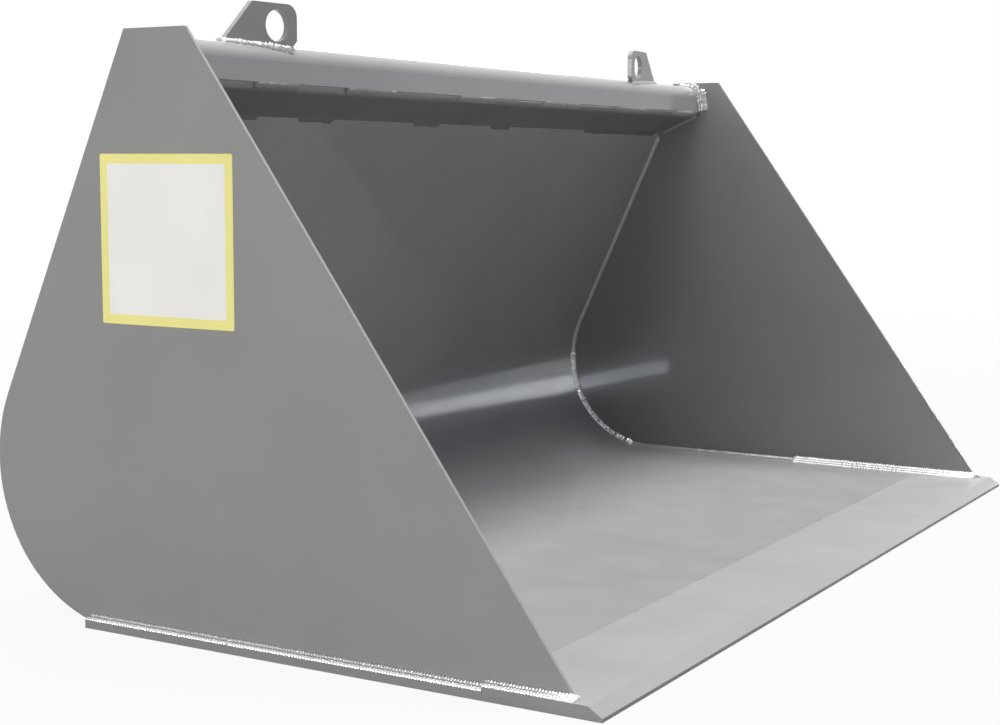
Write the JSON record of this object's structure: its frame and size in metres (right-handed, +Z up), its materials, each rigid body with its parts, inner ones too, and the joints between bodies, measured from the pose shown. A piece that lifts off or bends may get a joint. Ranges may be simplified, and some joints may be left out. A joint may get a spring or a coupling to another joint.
{
  "type": "front loader bucket",
  "caption": "Welded front loader bucket with flat sides, one curved floor and back sheet, beamed top edge, lifting eyes and rear hitch plates.",
  "frame": {"origin": "middle of the bounding box on the ground plane", "axes": "+X across the bucket to its right seen from the mouth side looking back, -Y out of the mouth, +Z up"},
  "size_m": [1.626, 0.9794, 0.806],
  "materials": {
    "grey_paint": "semi-gloss silver-grey paint on rolled steel",
    "shaded_paint": "the same paint, thin and darker on the closed-in underside",
    "edge_paint": "silver-grey paint on the smooth wear-steel bar",
    "weld_bead": "rippled weld beads under the same silver paint"
  },
  "bodies": {
    "root": {"left_side_plate": "grey_paint", "right_side_plate": "grey_paint", "shell": "grey_paint", "cutting_edge": "edge_paint", "left_wear_bar": "grey_paint", "right_wear_bar": "grey_paint", "left_floor_runner": "grey_paint", "right_floor_runner": "grey_paint", "top_beam": "grey_paint", "closing_plate": "shaded_paint", "left_lifting_eye": "grey_paint", "right_lifting_eye": "grey_paint", "left_backing_strip": "grey_paint", "right_backing_strip": "grey_paint", "left_hitch_bracket": "grey_paint", "right_hitch_bracket": "grey_paint", "left_hitch_gussets": "grey_paint", "right_hitch_gussets": "grey_paint", "left_inside_weld": "weld_bead", "right_inside_weld": "weld_bead", "left_outside_weld": "weld_bead", "right_outside_weld": "weld_bead", "left_bar_weld": "weld_bead", "right_bar_weld": "weld_bead", "left_edge_weld": "weld_bead", "right_edge_weld": "weld_bead", "floor_seam_weld": "weld_bead", "left_beam_end_weld": "weld_bead", "right_beam_end_weld": "weld_bead", "beam_back_weld": "weld_bead", "beam_face_stitches": "weld_bead", "closing_plate_stitches": "weld_bead", "left_lifting_eye_weld": "weld_bead", "right_lifting_eye_weld": "weld_bead", "left_hitch_weld": "weld_bead", "right_hitch_weld": "weld_bead", "left_strip_weld": "weld_bead", "right_strip_weld": "weld_bead"}
  },
  "joints": []
}
